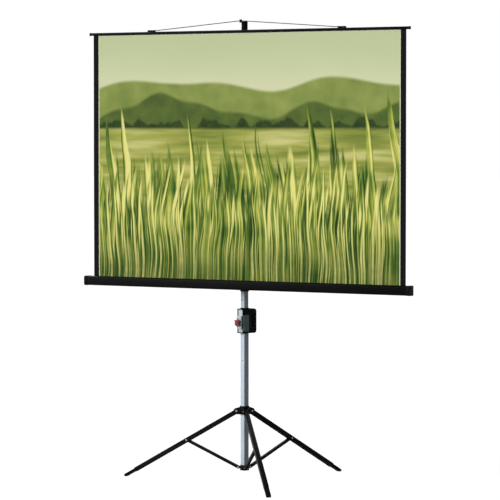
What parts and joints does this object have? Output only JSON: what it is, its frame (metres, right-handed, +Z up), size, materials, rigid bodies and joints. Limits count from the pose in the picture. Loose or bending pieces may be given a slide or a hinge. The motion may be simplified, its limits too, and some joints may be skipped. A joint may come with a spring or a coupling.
{
  "type": "tripod projection screen",
  "caption": "Portable pull-up projection screen: a roller case on a telescopic square mast, held by a folding tripod, with a handle and release lever below the case.",
  "frame": {"origin": "on the floor, under the middle of the bounding box", "axes": "+Z up, -Y the way the picture faces, +X to the right of someone looking at the picture"},
  "size_m": [1.876, 1.1044, 2.2987],
  "materials": {
    "grey_painted_steel": "satin blue-grey paint on folded sheet and drawn tube",
    "black_case": "satin black coating on an extruded section",
    "black_steel": "satin black powder coat",
    "black_plastic": "fine-grained moulded plastic",
    "grey_plastic": "smooth moulded plastic",
    "dark_grey_plastic": "smooth moulded plastic",
    "red_plastic": "glossy moulded plastic",
    "foot_rubber": "moulded rubber",
    "zinc_steel": "bright zinc plate",
    "roller_aluminium": "mill finish",
    "coated_cloth": "matt coated screen cloth with a printed picture, black borders and a black back"
  },
  "bodies": {
    "mast": {"mast_tube": "grey_painted_steel", "mast_top_ring": "black_plastic", "lower_hub": "black_plastic", "hub_rivet_1": "zinc_steel", "hub_rivet_2": "zinc_steel", "hub_rivet_3": "zinc_steel", "handle_body": "black_plastic", "front_shell": "grey_plastic", "shell_screw_1": "zinc_steel", "shell_screw_2": "zinc_steel", "side_cover_left": "dark_grey_plastic", "side_cover_right": "dark_grey_plastic", "lever_pin": "zinc_steel", "latch_spring": "zinc_steel"},
    "collar": {"leg_collar": "black_plastic"},
    "upper": {"upper_tube": "grey_painted_steel", "upper_tube_glide": "black_plastic", "upper_tube_ring": "black_plastic", "bracket_bush": "black_plastic", "bracket_retainer": "black_plastic"},
    "extension": {"extension_tube": "grey_painted_steel", "extension_plug": "black_plastic", "hook_cap": "black_plastic"},
    "bracket": {"case_bracket": "black_steel", "swivel_washer": "zinc_steel"},
    "case": {"case_housing": "black_case", "end_cap_left": "black_plastic", "end_cap_right": "black_plastic", "swivel_plate": "zinc_steel", "swivel_bolt": "zinc_steel", "swivel_nut": "zinc_steel", "spring_rod": "zinc_steel", "screen_cloth": "coated_cloth"},
    "roller": {"roller_tube": "roller_aluminium", "roller_plug_left": "black_plastic", "roller_plug_right": "black_plastic", "roller_spring": "zinc_steel", "cloth_roll": "coated_cloth"},
    "bar": {"top_bar": "black_case", "bar_cap_left": "black_plastic", "bar_cap_right": "black_plastic", "bail_clip_left": "black_plastic", "bail_clip_right": "black_plastic", "bail_wire": "zinc_steel"},
    "lever": {"release_lever": "red_plastic"},
    "latch": {"latch_pin": "zinc_steel"},
    "strut_1": {"strut_1": "black_steel"},
    "leg_1": {"leg_1": "black_steel", "foot_1": "foot_rubber", "leg_rivet_1": "zinc_steel"},
    "strut_2": {"strut_2": "black_steel"},
    "leg_2": {"leg_2": "black_steel", "foot_2": "foot_rubber", "leg_rivet_2": "zinc_steel"},
    "strut_3": {"strut_3": "black_steel"},
    "leg_3": {"leg_3": "black_steel", "foot_3": "foot_rubber", "leg_rivet_3": "zinc_steel"}
  },
  "joints": [
    {"name": "strut_1_fold", "type": "hinge", "parent": "mast", "child": "strut_1", "pos_m": [-0.02785, -0.03198, 0.0695], "axis": [0.9483, -0.3173, 0], "range_deg": [0, 64.12]},
    {"name": "leg_1_fold", "type": "hinge", "parent": "strut_1", "child": "leg_1", "pos_m": [0.05924, 0.22831, 0.196], "axis": [-0.9483, 0.3173, 0], "range_deg": [0, 124.13]},
    {"name": "strut_2_fold", "type": "hinge", "parent": "mast", "child": "strut_2", "pos_m": [-0.06936, -0.06871, 0.0695], "axis": [-0.1994, 0.9799, 0], "range_deg": [0, 64.12]},
    {"name": "leg_2_fold", "type": "hinge", "parent": "strut_2", "child": "leg_2", "pos_m": [-0.33831, -0.12343, 0.196], "axis": [0.1994, -0.9799, 0], "range_deg": [0, 124.13]},
    {"name": "strut_3_fold", "type": "hinge", "parent": "mast", "child": "strut_3", "pos_m": [-0.0168, -0.08629, 0.0695], "axis": [-0.749, -0.6626, 0], "range_deg": [0, 64.12]},
    {"name": "leg_3_fold", "type": "hinge", "parent": "strut_3", "child": "leg_3", "pos_m": [0.16507, -0.29186, 0.196], "axis": [0.749, 0.6626, 0], "range_deg": [0, 124.13]},
    {"name": "collar_slide", "type": "slide", "parent": "mast", "child": "collar", "axis": [0, 0, 1], "range_m": [0, 0.33076]},
    {"name": "case_lift", "type": "slide", "parent": "mast", "child": "upper", "axis": [0, 0, 1], "range_m": [-0.05, 0.4]},
    {"name": "extension_slide", "type": "slide", "parent": "upper", "child": "extension", "axis": [0, 0, 1], "range_m": [-0.72, 0]},
    {"name": "case_turn", "type": "hinge", "parent": "upper", "child": "bracket", "pos_m": [-0.038, -0.06233, 0.9835], "axis": [0, 0, 1], "range_deg": [-18.5, 0]},
    {"name": "case_swivel", "type": "hinge", "parent": "bracket", "child": "case", "pos_m": [-0.038, -0.11633, 0.9835], "axis": [0, 1, 0], "range_deg": [0, 68]},
    {"name": "fabric_pull", "type": "slide", "parent": "case", "child": "bar", "axis": [0, 0, 1], "range_m": [-1.22, 0], "deforming": ["screen_cloth"]},
    {"name": "roller_spin", "type": "hinge", "parent": "case", "child": "roller", "pos_m": [0, -0.13833, 0.9835], "axis": [1, 0, 0], "range_deg": [-4889.2, 0]},
    {"name": "lever_press", "type": "hinge", "parent": "mast", "child": "lever", "pos_m": [-0.04958, -0.09694, 0.791], "axis": [-0.9483, 0.3173, 0], "range_deg": [0, 8], "stiffness_Nm_per_rad": 0.4, "springref_deg": -11.46},
    {"name": "latch_draw", "type": "slide", "parent": "mast", "child": "latch", "axis": [-0.3173, -0.9483, 0], "range_m": [0, 0.00145]}
  ],
  "couplings": [
    {"joint": "leg_1_fold", "follows": "strut_1_fold", "ratio": 1.9358},
    {"joint": "strut_2_fold", "follows": "strut_1_fold", "ratio": 1},
    {"joint": "leg_2_fold", "follows": "strut_1_fold", "ratio": 1.9358},
    {"joint": "strut_3_fold", "follows": "strut_1_fold", "ratio": 1},
    {"joint": "leg_3_fold", "follows": "strut_1_fold", "ratio": 1.9358},
    {"joint": "collar_slide", "follows": "strut_1_fold", "m_per_rad": 0.29547},
    {"joint": "roller_spin", "follows": "fabric_pull", "rad_per_m": 69.93},
    {"joint": "latch_draw", "follows": "lever_press", "m_per_rad": 0.01}
  ]
}
